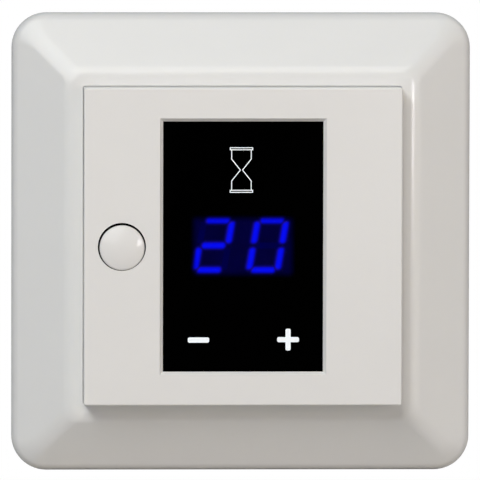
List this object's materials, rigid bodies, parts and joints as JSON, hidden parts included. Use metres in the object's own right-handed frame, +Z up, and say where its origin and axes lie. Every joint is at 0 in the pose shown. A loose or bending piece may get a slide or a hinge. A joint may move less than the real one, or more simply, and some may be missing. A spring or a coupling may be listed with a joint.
{
  "type": "timer switch",
  "caption": "Flush-mounted timer switch: sloped square cover frame, raised plate with a touch window showing digits, round push button, and a wall-box body with cage terminals.",
  "frame": {"origin": "centre of the wall-box screw pattern, in the plane of the wall", "axes": "+Z up the wall, the front faces -Y into the room, +Y into the wall box, +X to the right as seen from the room"},
  "size_m": [0.084, 0.0387, 0.084],
  "materials": {
    "glossy_white": "glossy moulded",
    "satin_white": "satin moulded",
    "button_white": "satin moulded",
    "black_window": "polished",
    "black_tape": "matte",
    "spring_steel": "drawn wire",
    "switch_black": "matte",
    "plunger_white": "matte",
    "display_black": "matte",
    "segment_lit": "lit blue",
    "segment_dark": "unlit",
    "tinned_pins": "tinned",
    "board_green": "solder mask",
    "chip_black": "matte",
    "chassis_grey": "moulded",
    "zinc_steel": "zinc plated",
    "housing_grey": "moulded",
    "relay_black": "semi-gloss",
    "film_box": "moulded box",
    "can_sleeve": "shrink sleeve",
    "varistor_blue": "dipped",
    "fuse_brown": "moulded",
    "ferrite_grey": "sintered",
    "copper_alloy": "plated",
    "screw_steel": "zinc plated"
  },
  "bodies": {
    "switch": {"cover_frame": "glossy_white", "front_plate": "satin_white", "touch_window": "black_window", "window_tape": "black_tape", "button_spring": "spring_steel", "key_switch_body": "switch_black", "display_housing": "display_black", "lit_segments": "segment_lit", "unlit_segments": "segment_dark", "display_pins": "tinned_pins", "display_board": "board_green", "controller_chip": "chip_black", "touch_springs": "spring_steel", "board_header": "switch_black", "carrier": "chassis_grey", "board_screws": "screw_steel", "mounting_ring": "zinc_steel", "case_screws": "screw_steel", "rear_housing": "housing_grey", "power_board": "board_green", "relay": "relay_black", "film_capacitor": "film_box", "electrolytic_capacitors": "can_sleeve", "varistor": "varistor_blue", "fuse": "fuse_brown", "transformer": "ferrite_grey", "rectifier": "chip_black", "terminal_bars": "copper_alloy"},
    "button": {"button_cap": "button_white"},
    "plunger": {"key_switch_plunger": "plunger_white"},
    "clamp_screw_1": {"terminal_screw_1": "screw_steel"},
    "clamp_cage_1": {"terminal_cage_1": "zinc_steel"},
    "clamp_screw_2": {"terminal_screw_2": "screw_steel"},
    "clamp_cage_2": {"terminal_cage_2": "zinc_steel"},
    "clamp_screw_3": {"terminal_screw_3": "screw_steel"},
    "clamp_cage_3": {"terminal_cage_3": "zinc_steel"},
    "clamp_screw_4": {"terminal_screw_4": "screw_steel"},
    "clamp_cage_4": {"terminal_cage_4": "zinc_steel"}
  },
  "joints": [
    {"name": "button_press", "type": "slide", "parent": "switch", "child": "button", "axis": [0, 1, 0], "range_m": [0, 0.001], "stiffness_N_per_m": 600, "springref_m": -0.002, "deforming": ["button_spring"]},
    {"name": "plunger_travel", "type": "slide", "parent": "switch", "child": "plunger", "axis": [0, 1, 0], "range_m": [0, 0.001]},
    {"name": "screw_turn_1", "type": "hinge", "parent": "switch", "child": "clamp_screw_1", "pos_m": [-0.0114, 0.02, 0.0178], "axis": [0, -1, 0], "range_deg": [0, 1730]},
    {"name": "cage_lift_1", "type": "slide", "parent": "switch", "child": "clamp_cage_1", "axis": [0, 1, 0], "range_m": [0, 0.0024]},
    {"name": "screw_turn_2", "type": "hinge", "parent": "switch", "child": "clamp_screw_2", "pos_m": [-0.0038, 0.02, 0.0178], "axis": [0, -1, 0], "range_deg": [0, 1730]},
    {"name": "cage_lift_2", "type": "slide", "parent": "switch", "child": "clamp_cage_2", "axis": [0, 1, 0], "range_m": [0, 0.0024]},
    {"name": "screw_turn_3", "type": "hinge", "parent": "switch", "child": "clamp_screw_3", "pos_m": [0.0038, 0.02, 0.0178], "axis": [0, -1, 0], "range_deg": [0, 1730]},
    {"name": "cage_lift_3", "type": "slide", "parent": "switch", "child": "clamp_cage_3", "axis": [0, 1, 0], "range_m": [0, 0.0024]},
    {"name": "screw_turn_4", "type": "hinge", "parent": "switch", "child": "clamp_screw_4", "pos_m": [0.0114, 0.02, 0.0178], "axis": [0, -1, 0], "range_deg": [0, 1730]},
    {"name": "cage_lift_4", "type": "slide", "parent": "switch", "child": "clamp_cage_4", "axis": [0, 1, 0], "range_m": [0, 0.0024]}
  ],
  "couplings": [
    {"joint": "plunger_travel", "follows": "button_press", "ratio": 1},
    {"joint": "screw_turn_1", "follows": "cage_lift_1", "rad_per_m": 12566},
    {"joint": "screw_turn_2", "follows": "cage_lift_2", "rad_per_m": 12566},
    {"joint": "screw_turn_3", "follows": "cage_lift_3", "rad_per_m": 12566},
    {"joint": "screw_turn_4", "follows": "cage_lift_4", "rad_per_m": 12566}
  ]
}
